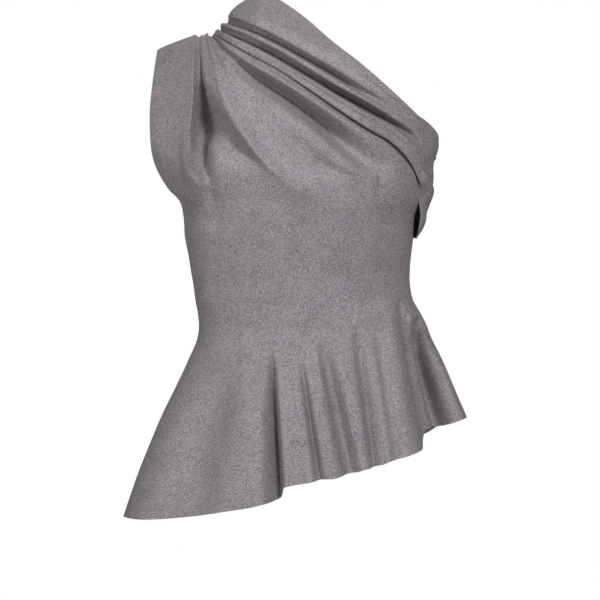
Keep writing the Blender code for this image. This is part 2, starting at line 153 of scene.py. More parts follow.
def unit(vectors):
    """The same directions, one unit long."""
    return vectors / np.maximum(np.linalg.norm(vectors, axis=-1, keepdims=True), 1e-9)


STRAIGHT_OUT = 0.3
JUST_BELOW_SEAM = 0.6
LEAST_TURN = 0.02
TURN_STEP = 0.01
HEIGHT_STEP = 0.5


def body_outward(turn, height, side, right):
    """Way in which a fold stands off the body form: nearly straight forwards or back, and sideways
    only at the sides."""
    across = body_point(turn, height, side, right)[..., 0]
    height = np.minimum(height, shoulder_height(across) - JUST_BELOW_SEAM)
    turn = np.clip(turn, LEAST_TURN, np.pi - LEAST_TURN)
    nearer = body_point(turn - TURN_STEP, height, side, right)
    further = body_point(turn + TURN_STEP, height, side, right)
    lower = body_point(turn, height - HEIGHT_STEP, side, right)
    upper = body_point(turn, height + HEIGHT_STEP, side, right)
    way = unit(np.cross(further - nearer, upper - lower)) * (-side)
    return unit(way * np.array([STRAIGHT_OUT, 1.0, STRAIGHT_OUT]))


def read_path(path, share):
    """Points at shares of the length of a smooth line through a path's (across, height) points."""
    path = np.asarray(path, float)
    length = np.concatenate([[0], np.cumsum(np.hypot(*np.diff(path, axis=0).T))])
    length = length / length[-1]
    return smooth(length, path[:, 0], share), smooth(length, path[:, 1], share)


LEAST_GAP = 0.3


def through_lines(values, spots, counts):
    """Columns between the fold lines, on smooth curves that round each fold without a loop.

    The curves run on the square roots of the gaps between the lines, which keeps them calm where
    a narrow gap meets a wide one."""
    gap = np.maximum(np.linalg.norm(np.diff(spots, axis=1), axis=-1), LEAST_GAP)[..., None] ** 0.5
    rate = np.diff(values, axis=1) / gap
    slope = np.empty_like(values)
    slope[:, 0] = rate[:, 0]
    slope[:, -1] = rate[:, -1]
    across_both = (values[:, 2:] - values[:, :-2]) / (gap[:, 1:] + gap[:, :-1])
    slope[:, 1:-1] = rate[:, :-1] + rate[:, 1:] - across_both
    columns = []
    for i, count in enumerate(counts):
        for k in range(count):
            t = k / count
            start = (2 * t ** 3 - 3 * t ** 2 + 1) * values[:, i]
            end = (3 * t ** 2 - 2 * t ** 3) * values[:, i + 1]
            bend = (t ** 3 - 2 * t ** 2 + t) * slope[:, i] + (t ** 3 - t ** 2) * slope[:, i + 1]
            columns.append(start + end + gap[:, i] * bend)
    columns.append(values[:, -1])
    return np.stack(columns, axis=1)


def read_lift(pairs, levels):
    """Lift of a fold line at each level, on a curve that never swings past the given lifts."""
    level, lift = np.array(pairs, float).T
    step = np.diff(level)
    rate = np.diff(lift) / step
    slope = np.zeros_like(lift)
    same_way = rate[:-1] * rate[1:] > 0
    slope[1:-1][same_way] = 2 / (1 / rate[:-1][same_way] + 1 / rate[1:][same_way])
    i = np.clip(np.searchsorted(level, levels) - 1, 0, len(level) - 2)
    t = np.clip((levels - level[i]) / step[i], 0, 1)
    start = (2 * t ** 3 - 3 * t ** 2 + 1) * lift[i] + (t ** 3 - 2 * t ** 2 + t) * step[i] * slope[i]
    end = (3 * t ** 2 - 2 * t ** 3) * lift[i + 1] + (t ** 3 - t ** 2) * step[i] * slope[i + 1]
    return start + end


TUCK_FADE = 4.0
TUCK_COLUMNS = 8
OPEN_REACH = 3.0
OPEN_SHARE = 0.45
LEAST_LENGTH = 0.1


def tucked(edge, beside, reach, drop):
    """Line of cloth just past a fold's edge: under it and deeper where the fold has any reach."""
    gap = np.stack([beside["x"] - edge["x"], beside["z"] - edge["z"]])
    length = np.maximum(np.hypot(*gap), LEAST_LENGTH)
    closed = np.clip(reach / TUCK_FADE, 0, 1)
    way = np.minimum(OPEN_REACH, OPEN_SHARE * length) * (1 - closed) - reach
    share = np.clip(way / length, 0, 1)
    slope = (beside["lift"] - edge["lift"]) * share ** 2 * (3 - 2 * share)
    return dict(
        x=edge["x"] + gap[0] / length * way,
        z=edge["z"] + gap[1] / length * way,
        lift=edge["lift"] + slope - drop * closed,
        columns=TUCK_COLUMNS,
    )


LEFT_SEAM_ACROSS = -130.0
RIGHT_SEAM_ACROSS = 132.0
FIT_ROUNDS = 8
SHOULDER_FIT_FADE = 4
WAIST_FIT_FADE = 2


def folded_grid(folds, levels, side, right, waist_fit):
    """Angles, heights and lifts of a grid whose columns follow the fold lines.

    Level 0 is the shoulder, 1 the end of a line's upper path and 2 the end of its lower path."""
    levels = np.asarray(levels, float)
    above = np.clip(levels, 0, 1)
    below = np.clip(levels - 1, 0, 1)
    knee_row = int((levels <= 1).sum()) - 1
    lines = []
    for fold in folds:
        x, z = read_path(fold["above"], above)
        under = fold["below"]
        if side == BACK:
            under = fold.get("below_at_back", under)
        if isinstance(under, str):
            end = "left" if under == "left side" else "right"
            low = waist_height(LEFT_SEAM_ACROSS if end == "left" else RIGHT_SEAM_ACROSS, side)
            z_low = z[knee_row] + (low - z[knee_row]) * below
            x_low = body_size("left", z_low) if end == "left" else right(z_low)
        else:
            x_low, z_low = read_path(under, below)
        lines.append(dict(
            x=np.where(levels <= 1, x, x_low),
            z=np.where(levels <= 1, z, z_low),
            lift=read_lift(fold["front" if side == FRONT else "back"], levels),
            columns=fold["columns"],
        ))
    laid = []
    for i, (fold, line) in enumerate(zip(folds, lines)):
        before = fold.get("tuck_before")
        after = fold.get("tuck_after")
        if before:
            if i:
                beside = lines[i - 1]
            else:
                beside = dict(
                    x=2 * line["x"] - lines[1]["x"],
                    z=2 * line["z"] - lines[1]["z"],
                    lift=line["lift"],
                )
            laid.append(tucked(line, beside, read_lift(before, levels), fold["drop"]))
        laid.append(line)
        if after:
            laid.append(tucked(line, lines[i + 1], read_lift(after, levels), fold["drop"]))
    turn = np.stack([turn_at(line["x"], line["z"], right) for line in laid], axis=1)
    height = np.stack([line["z"] for line in laid], axis=1)
    lift = np.stack([line["lift"] for line in laid], axis=1)
    spots = body_point(turn, height, side, right)
    spots = spots + body_outward(turn, height, side, right) * lift[..., None]
    counts = [line["columns"] for line in laid[:-1]]
    grid = through_lines(np.stack([turn, height, lift], axis=-1), spots, counts)
    turn, height, lift = np.moveaxis(grid, -1, 0)
    for _ in range(FIT_ROUNDS):
        across = body_point(turn, height, side, right)[..., 0]
        to_shoulder = shoulder_height(across[0]) - height[0]
        height = height + to_shoulder * (1 - above[:, None]) ** SHOULDER_FIT_FADE
        if waist_fit:
            to_waist = waist_height(across[-1], side) - height[-1]
            height = height + to_waist * below[:, None] ** WAIST_FIT_FADE
    return turn, height, lift


SEAM_REACH = 8.0
LEAST_DEPTH = 0.05


def stand_off(base, way, lift, side):
    """Points moved off the form by their lift, but not apart from the other half at a seam, nor
    past the middle into it."""
    from_seam = np.clip(np.abs(base[..., 1:2]) / SEAM_REACH, 0, 1)
    whole = np.ones_like(from_seam)
    outer = base + way * np.concatenate([whole, from_seam, whole], axis=-1) * lift[..., None]
    outer[..., 1] = side * np.maximum(side * outer[..., 1], LEAST_DEPTH)
    return outer


CREASE_END = 0.08
CREASE_FADE = 0.7


def crease(points, start, end, width, depth):
    """Soft trough (or ridge, if depth is below zero) along a short line seen from the front."""
    a = np.array(start, float)
    b = np.array(end, float)
    seen = points[..., [0, 2]] - a
    run = b - a
    along = np.clip((seen @ run) / (run @ run), 0, 1)
    away = np.linalg.norm(seen - along[..., None] * run, axis=-1)
    fade = np.sin(np.pi * (CREASE_END + (1 - 2 * CREASE_END) * along)) ** CREASE_FADE
    return -depth * fade * np.exp(-((away / width) ** 2))


SLACK_WAVES = 7


def slack(points, size, amount, seed):
    """Slow, uneven swell of soft cloth, as a sum of a few waves with seeded directions."""
    draw = np.random.default_rng(seed)
    total = np.zeros(points.shape[:-1])
    for _ in range(SLACK_WAVES):
        direction = draw.normal(size=3)
        direction = direction / np.linalg.norm(direction)
        wave = 2 * np.pi / (size * draw.uniform(0.7, 1.5))
        total += np.sin(points @ direction * wave + draw.uniform(0, 2 * np.pi))
    return total / SLACK_WAVES ** 0.5 * amount


def cloth_sheet(name, points):
    """Mesh of one layer of cloth from a grid of points, with a UV map in metres of cloth."""
    middle = points.shape[1] // 2
    rows, columns = points.shape[:2]
    placed = (points - np.array(SHOULDER_SEAT)) * MM
    u = np.cumsum(np.linalg.norm(np.diff(placed, axis=1, prepend=placed[:, :1]), axis=-1), axis=1)
    v = np.cumsum(np.linalg.norm(np.diff(placed, axis=0, prepend=placed[:1]), axis=-1), axis=0)
    u = u - u[:, middle:middle + 1]
    mesh = bpy.data.meshes.new(name)
    faces = [
        (i * columns + j, (i + 1) * columns + j, (i + 1) * columns + j + 1, i * columns + j + 1)
        for i in range(rows - 1) for j in range(columns - 1)
    ]
    mesh.from_pydata([tuple(p) for p in placed.reshape(-1, 3)], [], faces)
    uv = mesh.uv_layers.new(name="cloth")
    grid_uv = np.stack([u, -v], axis=-1).reshape(-1, 2)
    order = np.empty(len(mesh.loops), dtype=np.int32)
    mesh.loops.foreach_get("vertex_index", order)
    uv.data.foreach_set("uv", grid_uv[order].astype(np.float32).ravel())
    mesh.shade_smooth()
    ends = np.empty(len(mesh.edges) * 2, dtype=np.int32)
    mesh.edges.foreach_get("vertices", ends)
    row, column = np.divmod(ends.reshape(-1, 2), columns)
    on_border = (
        (row == 0).all(axis=1) | (row == rows - 1).all(axis=1)
        | (column == 0).all(axis=1) | (column == columns - 1).all(axis=1)
    )
    mesh.attributes.new("sharp_edge", "BOOLEAN", "EDGE").data.foreach_set("value", on_border)
    piece = bpy.data.objects.new(name, mesh)
    bpy.context.scene.collection.objects.link(piece)
    return piece


CLEAR_OF_SEAM = 0.02


def face_outwards(piece, side):
    """Turn the faces if they point at the body's middle rather than away from it."""
    mesh = piece.data
    facing = np.empty(len(mesh.polygons) * 3)
    mesh.polygons.foreach_get("normal", facing)
    centre = np.empty(len(mesh.polygons) * 3)
    mesh.polygons.foreach_get("center", centre)
    middle_y = centre.reshape(-1, 3)[:, 1]
    if (facing.reshape(-1, 3)[:, 1] * side * (np.abs(middle_y) > CLEAR_OF_SEAM)).sum() < 0:
        mesh.flip_normals()


def thicken(piece):
    """Give the sheet its wall, inwards from the outer face."""
    wall = piece.modifiers.new("cloth wall", "SOLIDIFY")
    wall.thickness = CLOTH * MM
    wall.offset = -1.0
    wall.use_even_offset = False
    wall.use_rim = True


CELL_SHARE = 0.52
FUZZ_SHARE = 0.36
CLOUD_SHARE = 0.12
CLOUDS_PER_METRE = 38.0
FUZZ_TO_GRAIN = 0.8
THINNEST_FUZZ = 0.25
THICKEST_FUZZ = 0.75
DARKEST_SPECK = 0.24
LIGHTEST_SPECK = 0.76
YARN_TINTS = (
    (0.0, (1.14, 0.94, 1.01, 1)),
    (0.3, (1.0, 1.0, 1.0, 1)),
    (0.55, (0.9, 1.0, 1.1, 1)),
    (0.75, (1.1, 1.05, 0.84, 1)),
    (0.9, (1.04, 0.95, 1.1, 1)),
)
FLECK_METAL = 0.8
YARN_ROUGHNESS = 0.82
FLECK_SMOOTHER_BY = 0.42
COURSE_LEAN = 0.5
COURSE_DEPTH = 0.6
LOOP_HEIGHT = 0.45
CELL_HEIGHT = 0.35
FUZZ_HEIGHT = 0.5


def knit_group():
    """Melange knit with metal thread: speckled yarn colour, roughness, metal flecks and height."""
    tree = bpy.data.node_groups.new("melange knit", "ShaderNodeTree")
    face = tree.interface
    for label, kind in (
        ("Dark yarn", "NodeSocketColor"), ("Light yarn", "NodeSocketColor"),
        ("Grain per metre", "NodeSocketFloat"), ("Fleck share", "NodeSocketFloat"),
        ("Wales per metre", "NodeSocketFloat"), ("Courses per metre", "NodeSocketFloat"),
    ):
        face.new_socket(name=label, in_out="INPUT", socket_type=kind)
    for label, kind in (
        ("Color", "NodeSocketColor"), ("Roughness", "NodeSocketFloat"),
        ("Metallic", "NodeSocketFloat"), ("Height", "NodeSocketFloat"),
    ):
        face.new_socket(name=label, in_out="OUTPUT", socket_type=kind)
    nodes = tree.nodes
    links = tree.links
    given = nodes.new("NodeGroupInput")
    result = nodes.new("NodeGroupOutput")
    place = nodes.new("ShaderNodeTexCoord")

    def math(operation, first, second=None, clamp=False):
        """One Math node's output; a number is set on its socket and an output is linked to it."""
        node = nodes.new("ShaderNodeMath")
        node.operation = operation
        node.use_clamp = clamp
        for socket, value in zip(node.inputs, (first, second)):
            if value is None:
                continue
            if isinstance(value, (int, float)):
                socket.default_value = value
            else:
                links.new(value, socket)
        return node.outputs[0]

    def stretch(value, low, high):
        """The value with low turned to 0 and high to 1."""
        node = nodes.new("ShaderNodeMapRange")
        links.new(value, node.inputs["Value"])
        node.inputs["From Min"].default_value = low
        node.inputs["From Max"].default_value = high
        return node.outputs["Result"]

    cells = nodes.new("ShaderNodeTexVoronoi")
    cells.feature = "F1"
    links.new(place.outputs["Object"], cells.inputs["Vector"])
    links.new(given.outputs["Grain per metre"], cells.inputs["Scale"])
    split = nodes.new("ShaderNodeSeparateColor")
    links.new(cells.outputs["Color"], split.inputs["Color"])

    fuzz = nodes.new("ShaderNodeTexNoise")
    fuzz.inputs["Detail"].default_value = 3.0
    fuzz.inputs["Roughness"].default_value = 0.65
    links.new(place.outputs["Object"], fuzz.inputs["Vector"])
    links.new(math("MULTIPLY", given.outputs["Grain per metre"], FUZZ_TO_GRAIN), fuzz.inputs["Scale"])

    cloud = nodes.new("ShaderNodeTexNoise")
    cloud.inputs["Scale"].default_value = CLOUDS_PER_METRE
    cloud.inputs["Detail"].default_value = 2.0
    links.new(place.outputs["Object"], cloud.inputs["Vector"])

    full_fuzz = stretch(fuzz.outputs["Fac"], THINNEST_FUZZ, THICKEST_FUZZ)
    speck = math("MULTIPLY", split.outputs["Red"], CELL_SHARE)
    speck = math("ADD", speck, math("MULTIPLY", full_fuzz, FUZZ_SHARE))
    speck = math("ADD", speck, math("MULTIPLY", cloud.outputs["Fac"], CLOUD_SHARE), clamp=True)
    speck = stretch(speck, DARKEST_SPECK, LIGHTEST_SPECK)
    yarn = nodes.new("ShaderNodeMix")
    yarn.data_type = "RGBA"
    links.new(speck, yarn.inputs["Factor"])
    links.new(given.outputs["Dark yarn"], yarn.inputs["A"])
    links.new(given.outputs["Light yarn"], yarn.inputs["B"])

    tint = nodes.new("ShaderNodeValToRGB")
    tint.color_ramp.interpolation = "CONSTANT"
    stops = tint.color_ramp.elements
    for stop, (position, colour) in zip(stops, YARN_TINTS[:2]):
        stop.position = position
        stop.color = colour
    for position, colour in YARN_TINTS[2:]:
        stops.new(position).color = colour
    links.new(split.outputs["Green"], tint.inputs["Fac"])
    tinted = nodes.new("ShaderNodeMix")
    tinted.data_type = "RGBA"
    tinted.blend_type = "MULTIPLY"
    tinted.inputs["Factor"].default_value = 1.0
    links.new(yarn.outputs["Result"], tinted.inputs["A"])
    links.new(tint.outputs["Color"], tinted.inputs["B"])
    links.new(tinted.outputs["Result"], result.inputs["Color"])

    fleck = math("LESS_THAN", split.outputs["Blue"], given.outputs["Fleck share"])
    links.new(math("MULTIPLY", fleck, FLECK_METAL), result.inputs["Metallic"])
    rough = math("SUBTRACT", YARN_ROUGHNESS, math("MULTIPLY", fleck, FLECK_SMOOTHER_BY))
    links.new(rough, result.inputs["Roughness"])

    cloth = nodes.new("ShaderNodeUVMap")
    cloth.uv_map = "cloth"
    split_uv = nodes.new("ShaderNodeSeparateXYZ")
    links.new(cloth.outputs["UV"], split_uv.inputs["Vector"])
    wale = math("MULTIPLY", split_uv.outputs["X"], given.outputs["Wales per metre"])
    course = math("MULTIPLY", split_uv.outputs["Y"], given.outputs["Courses per metre"])
    wale_wave = math("ABSOLUTE", math("SINE", math("MULTIPLY", wale, np.pi)))
    leaning = math("ADD", course, math("MULTIPLY", wale_wave, COURSE_LEAN))
    course_wave = math("ABSOLUTE", math("SINE", math("MULTIPLY", leaning, np.pi)))
    course_share = math("ADD", math("MULTIPLY", course_wave, COURSE_DEPTH), 1 - COURSE_DEPTH)
    loop = math("MULTIPLY", wale_wave, course_share)
    cell_height = math("MULTIPLY", split.outputs["Red"], CELL_HEIGHT)
    height = math("ADD", math("MULTIPLY", loop, LOOP_HEIGHT), cell_height)
    height = math("ADD", height, math("MULTIPLY", fuzz.outputs["Fac"], FUZZ_HEIGHT))
    links.new(height, result.inputs["Height"])
    return tree


KNIT = knit_group()


def knit_material(name, dark, light):
    """Matt speckled knit with a faint sheen; each piece of cloth sets its own two yarn colours."""
    material = bpy.data.materials.new(name)
    material.use_nodes = True
    nodes = material.node_tree.nodes
    links = material.node_tree.links
    shader = nodes["Principled BSDF"]
    knit = nodes.new("ShaderNodeGroup")
    knit.node_tree = KNIT
    for label, value in (
        ("Dark yarn", dark),
        ("Light yarn", light),
        ("Grain per metre", 2100.0),
        ("Fleck share", 0.16),
        ("Wales per metre", 950.0),
        ("Courses per metre", 1150.0),
    ):
        knit.inputs[label].default_value = value
    bump = nodes.new("ShaderNodeBump")
    bump.inputs["Strength"].default_value = 0.5
    bump.inputs["Distance"].default_value = 0.0006
    links.new(knit.outputs["Height"], bump.inputs["Height"])
    links.new(bump.outputs["Normal"], shader.inputs["Normal"])
    links.new(knit.outputs["Color"], shader.inputs["Base Color"])
    links.new(knit.outputs["Roughness"], shader.inputs["Roughness"])
    links.new(knit.outputs["Metallic"], shader.inputs["Metallic"])
    shader.inputs["Specular IOR Level"].default_value = 0.25
    shader.inputs["Sheen Weight"].default_value = 0.05
    shader.inputs["Sheen Roughness"].default_value = 0.45
    shader.inputs["Sheen Tint"].default_value = (0.95, 0.9, 0.94, 1)
    return material


SASH_LOWER_EDGE = (
    (-106, 346), (-88, 334), (-68, 322), (-34, 304), (1, 282), (36, 258), (70, 236), (105, 215),
    (123, 195), (136, 170),
)
SASH_FIRST_PLEAT = (
    (-103, 349), (-87, 338), (-72, 327), (-36, 309), (1, 288), (36, 265), (70, 244), (105, 224),
    (127, 206), (142, 176),
)

# Each fold line from the wearer's shoulder down: its path as (across, height) above level 1 and
# below it, its lift off the form as (level, lift) in front and at the back, and the columns of
# mesh up to the next line. A tuck gives how far the cloth turns back under the line, and a drop
# how deep it goes there.
BODICE_FOLDS = (
    dict(
        name="armhole and left side",
        columns=12,
        above=(
            (-174, 329), (-177, 291), (-180, 254), (-180, 232), (-176, 196), (-161, 164),
            (-150, 149),
        ),
        below="left side",
        front=((0, 0), (2, 0)),
        back=((0, 0), (2, 0)),
    ),
    dict(
        name="middle of the cap",
        columns=10,
        above=((-151, 338), (-152, 291), (-153, 238), (-148, 198), (-135, 157)),
        below=((-135, 157), (-130, 120), (-119, 66), (-113, -5)),
        front=((0, 1), (0.5, 1), (1, 0), (2, 0)),
        back=((0, 1), (0.5, 3), (1, 1), (1.3, 0), (2, 0)),
    ),
    dict(
        name="rim of the cap",
        columns=8,
        above=((-134, 342), (-135, 305), (-136, 263), (-136, 233), (-137, 205), (-133, 182)),
        below=((-133, 182), (-125, 128), (-112, 67), (-106, -6)),
        front=((0, 2), (0.24, 5), (0.45, 6), (0.8, 7), (0.95, 6), (1.05, 3), (1.3, 0), (2, 0)),
        back=((0, 2), (0.2, 4), (0.5, 7), (0.8, 4), (1.1, 0), (2, 0)),
    ),
    dict(
        name="edge of the cap's fold",
        columns=8,
        above=(
            (-129, 344), (-127, 305), (-127, 263), (-129, 240), (-130, 220), (-129, 189),
            (-123, 177),
        ),
        below=((-123, 177), (-113, 128), (-103, 70), (-96, -8)),
        front=((0, 3), (0.24, 9), (0.45, 10), (0.8, 9), (0.95, 6), (1.05, 3), (1.25, 0), (2, 0)),
        back=((0, 1), (0.2, 3), (0.5, 4), (0.8, 2), (1.1, 0), (2, 0)),
        drop=10,
        tuck_after=((0, 0), (0.15, 1), (0.45, 4), (0.7, 5), (0.9, 3), (1, 0), (2, 0)),
    ),
    dict(
        name="recess beside the cap",
        columns=8,
        above=(
            (-125, 344), (-122, 303), (-122, 268), (-123, 245), (-123, 233), (-123, 211),
            (-120, 193), (-114, 176),
        ),
        below=((-114, 176), (-101, 126), (-90, 70), (-83, -10)),
        front=(
            (0, -1), (0.24, -8), (0.45, -28), (0.59, -41), (0.67, -42), (0.8, -29), (0.9, -19),
            (1, -9), (1.2, -2), (1.4, 0), (2, 0),
        ),
        back=((0, -1), (0.25, -5), (0.5, -9), (0.8, -3), (1.1, 0), (2, 0)),
    ),
    dict(
        name="brink of the recess",
        columns=8,
        above=(
            (-122, 344), (-116, 303), (-113, 268), (-110, 245), (-107, 233), (-103, 211),
            (-102, 193), (-100, 176),
        ),
        below=((-100, 176), (-86, 126), (-74, 70), (-68, -10)),
        front=(
            (0, 1), (0.24, 1), (0.45, -13), (0.59, -26), (0.67, -27), (0.8, -5), (0.9, -1), (1, -1),
            (1.3, 0), (2, 0),
        ),
        back=((0, 0), (0.3, -3), (0.7, -3), (1, 0), (2, 0)),
    ),
    dict(
        name="bank beside the recess",
        columns=12,
        above=(
            (-118, 345), (-106, 303), (-99, 268), (-91, 245), (-85, 233), (-77, 213), (-72, 196),
            (-68, 176),
        ),
        below=((-68, 176), (-62, 130), (-54, 80), (-50, -10)),
        front=(
            (0, 1), (0.24, 5), (0.45, 3), (0.59, -4), (0.67, -9), (0.76, -13), (0.86, -6),
            (0.95, -2), (1.2, 0), (2, 0),
        ),
        back=((0, 1), (0.3, -1), (0.7, -2), (1, 0), (2, 0)),
    ),
    dict(
        name="long ridge to the bust",
        columns=8,
        above=(
            (-115, 346), (-103, 315), (-96, 292), (-89, 268), (-79, 249), (-57, 211), (-41, 192),
            (-6, 166),
        ),
        below=((-6, 166), (0, 132), (0, 83), (-4, -5)),
        front=((0, 4), (0.2, 6), (0.5, 9), (0.8, 9), (1, 6), (1.15, 2), (1.4, 0), (2, 0)),
        back=((0, 3), (0.2, 4), (0.5, 6), (0.8, 4), (1.1, 1), (1.4, 0), (2, 0)),
    ),
    dict(
        name="foot of the ridge",
        columns=12,
        above=((-113, 346), (-97, 314), (-84, 287), (-70, 260), (-50, 223), (-24, 191), (5, 170)),
        below=((5, 170), (14, 132), (15, 83), (12, -2)),
        front=((0, 1), (0.2, 0), (0.5, 1), (0.8, 2), (1, 2), (1.2, 0), (2, 0)),
        back=((0, 1), (0.2, 0), (0.5, 1), (1, 1), (1.2, 0), (2, 0)),
    ),
    dict(
        name="flat of the bust",
        columns=14,
        above=((-112, 346), (-96, 310), (-74, 277), (-46, 243), (-16, 210), (22, 185)),
        below=((22, 185), (38, 135), (42, 83), (36, 1)),
        front=((0, 0), (0.3, -1), (0.6, 1), (1, 0), (2, 0)),
        back=((0, 0), (0.5, 0), (2, 0)),
    ),
    dict(
        name="lower bank of the valley",
        columns=12,
        above=(
            (-111, 345), (-98, 319), (-68, 287), (-34, 263), (1, 238), (36, 208), (70, 182),
            (84, 174),
        ),
        below=((84, 174), (78, 140), (72, 85), (66, 10)),
        front=((0, 0), (0.2, -1), (0.5, 1), (0.9, 1), (1.1, 0), (2, 0)),
        back=((0, 0), (0.5, 1), (1.1, 0), (2, 0)),
    ),
    dict(
        name="valley under the sash",
        columns=12,
        above=(
            (-110, 344), (-87, 321), (-52, 293), (-17, 271), (18, 244), (53, 212), (70, 197),
            (86, 187),
        ),
        below=((86, 187), (94, 150), (90, 94), (83, 18)),
        front=(
            (0, -2), (0.15, -6), (0.3, -15), (0.5, -21), (0.65, -22), (0.8, -17), (0.9, -10),
            (1, -4), (1.2, 0), (2, 0),
        ),
        back=((0, -1), (0.2, -5), (0.5, -8), (0.9, -2), (1.2, 0), (2, 0)),
    ),
    dict(
        name="crest under the sash",
        columns=10,
        above=(
            (-108, 345), (-90, 328), (-68, 312), (-34, 292), (1, 270), (36, 246), (70, 221),
            (88, 208), (105, 195),
        ),
        below=((105, 195), (111, 148), (106, 93), (101, 28)),
        front=((0, 1), (0.2, 4), (0.35, 6), (0.5, 6), (0.8, 4), (1, 1), (1.3, 0), (2, 0)),
        back=((0, 1), (0.5, 3), (1, 1), (1.3, 0), (2, 0)),
    ),
    dict(
        name="line where the sash lies over",
        columns=6,
        above=SASH_LOWER_EDGE,
        below=((136, 170), (132, 150), (125, 110), (121, 70), (120, 42)),
        front=((0, 0), (0.5, -1), (1, -1), (1.3, 0), (2, 0)),
        back=((0, 0), (0.5, -1), (1, -1), (1.3, 0), (2, 0)),
    ),
    dict(
        name="edge under the sash and right side",
        columns=0,
        above=SASH_FIRST_PLEAT,
        below="right side",
        front=((0, 0), (0.5, -1), (1, -1), (1.3, 0), (2, 0)),
        back=((0, 0), (0.5, -1), (1, -1), (1.3, 0), (2, 0)),
    ),
)
UPPER_ROWS = 110
LOWER_ROWS = 60
ROWS_CROWD_UP = 1.5
WIDE_SLACK = (90, 0.5)
NARROW_SLACK = (34, 0.18)
CALM_NEAR_SEAMS = 20

# Short soft troughs, and ridges where the depth is below zero: start, end, width and depth.
FRONT_CREASES = (
    ((-135, 187), (-125, 172), 4, -3.0),
    ((-126, 173), (-106, 166), 4, -3.0),
    ((-24, 172), (12, 156), 9, -2.5),
    ((-18, 226), (42, 181), 8, 3.0),
    ((-5, 206), (40, 181), 7, 2.4),
    ((-146, 165), (-133, 153), 4, 1.0),
    ((70, 60), (112, 78), 9, 1.0),
    ((60, 40), (100, 56), 9, 0.8),
)


def levels_down(upper, lower):
    """Levels of the mesh's rows, closer together at the shoulder."""
    above = [(i / upper) ** ROWS_CROWD_UP for i in range(upper + 1)]
    below = [1 + (i + 1) / lower for i in range(lower)]
    return above + below


def from_seams(points, side):
    """0 on the shoulder and waist seams and 1 a little way from them."""
    to_shoulder = shoulder_height(points[..., 0]) - points[..., 2]
    to_waist = points[..., 2] - waist_height(points[..., 0], side)
    return np.clip(np.minimum(to_shoulder, to_waist) / CALM_NEAR_SEAMS, 0, 1)


def bodice_points(side, creases, seed):
    """Grid of points of the front or back bodice's outer face."""
    levels = levels_down(UPPER_ROWS, LOWER_ROWS)
    turn, height, lift = folded_grid(BODICE_FOLDS, levels, side, body_right, waist_fit=True)
    base = body_point(turn, height, side, body_right)
    for start, end, width, depth in creases:
        lift = lift + crease(base, start, end, width, depth)
    loose = slack(base, *WIDE_SLACK, seed) + slack(base, *NARROW_SLACK, seed + 1)
    lift = lift + loose * from_seams(base, side)
    return stand_off(base, body_outward(turn, height, side, body_right), lift, side)


front_bodice = cloth_sheet("front_bodice_knit", bodice_points(FRONT, FRONT_CREASES, 11))
face_outwards(front_bodice, FRONT)
thicken(front_bodice)
BODICE_KNIT = knit_material("bodice knit", (0.050, 0.045, 0.051, 1), (0.445, 0.424, 0.441, 1))
front_bodice.data.materials.append(BODICE_KNIT)
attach(front_bodice, "root")
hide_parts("front_bodice")

# Back bodice.
# One cut of the same knit, hidden in the photo: it is shaped like the front, with softer folds
# from the same shoulder, and is seamed to the front at the shoulder and sides.

BACK_CREASES = (
    ((-60, 250), (-20, 175), 10, 2.0),
    ((20, 200), (75, 165), 9, 1.6),
    ((-110, 120), (-60, 100), 9, 1.0),
    ((-20, 45), (40, 50), 11, 1.4),
    ((30, 70), (95, 84), 10, 1.0),
)
back_bodice = cloth_sheet("back_bodice_knit", bodice_points(BACK, BACK_CREASES, 21))
face_outwards(back_bodice, BACK)
thicken(back_bodice)
back_bodice.data.materials.append(BODICE_KNIT)
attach(back_bodice, "root")
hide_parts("back_bodice")

# Front sash.
# A wide band of the same knit laid in pleats: they are gathered at the shoulder, open over the
# chest as three bands with two deep creases, and close again at the other underarm.

